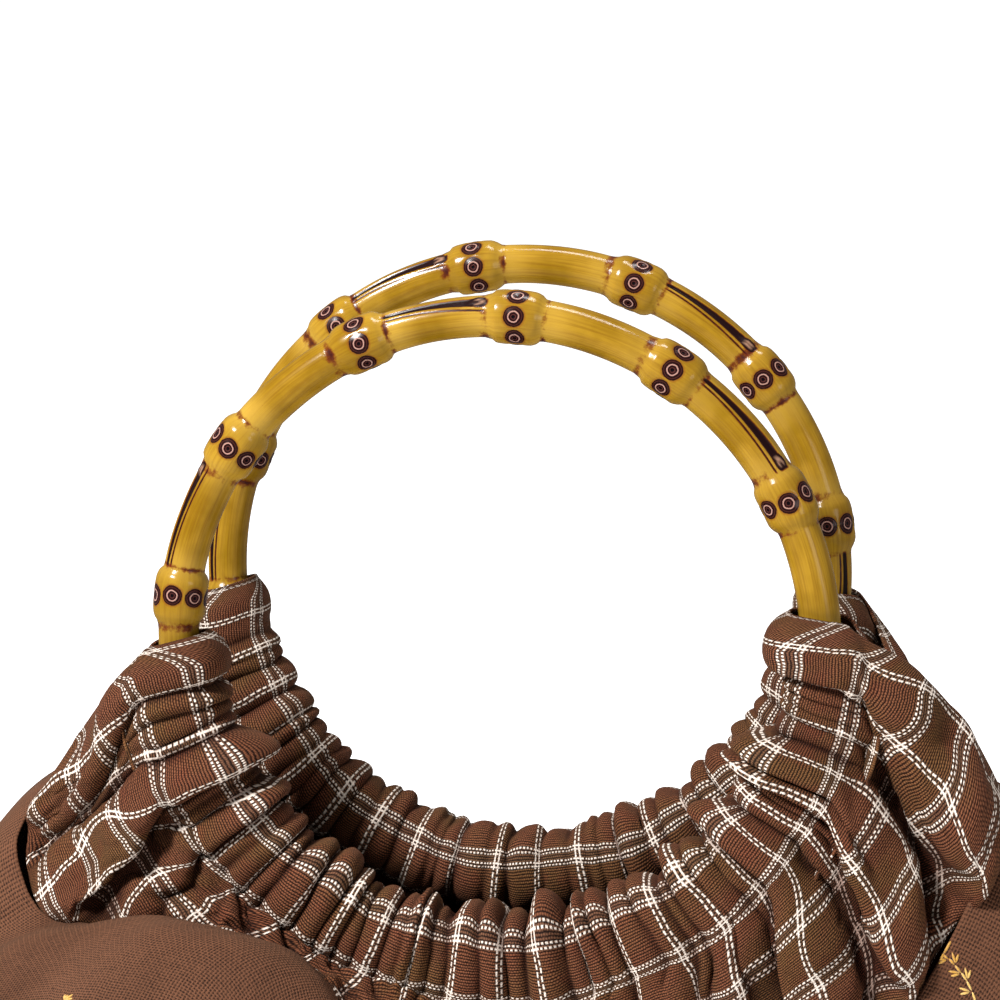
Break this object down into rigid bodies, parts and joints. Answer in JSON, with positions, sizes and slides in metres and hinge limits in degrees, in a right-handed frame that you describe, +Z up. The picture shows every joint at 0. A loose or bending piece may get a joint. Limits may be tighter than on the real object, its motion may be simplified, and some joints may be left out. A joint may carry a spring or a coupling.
{
  "type": "cloth handbag with bamboo ring handles",
  "caption": "Soft rounded cloth handbag with a gathered checked yoke, a plain linen pouch and a pair of round bamboo handles.",
  "frame": {"origin": "middle of the flat base, on the surface that the bag stands on", "axes": "+X across the bag to the right as seen from the front, +Y from front to back, +Z up"},
  "size_m": [0.3632, 0.163, 0.4137],
  "materials": {
    "bamboo": "lacquered, glossy, with dark brown rings and scars at the knuckles",
    "checked_cotton": "matt brown cotton with a windowpane check of broken white lines",
    "linen": "matt plain brown linen with a fine open weave"
  },
  "bodies": {
    "root": {"handle_front": "bamboo", "handle_back": "bamboo", "yoke_front": "checked_cotton", "yoke_back": "checked_cotton", "linen_front": "linen", "linen_back": "linen", "linen_base": "linen"}
  },
  "joints": []
}
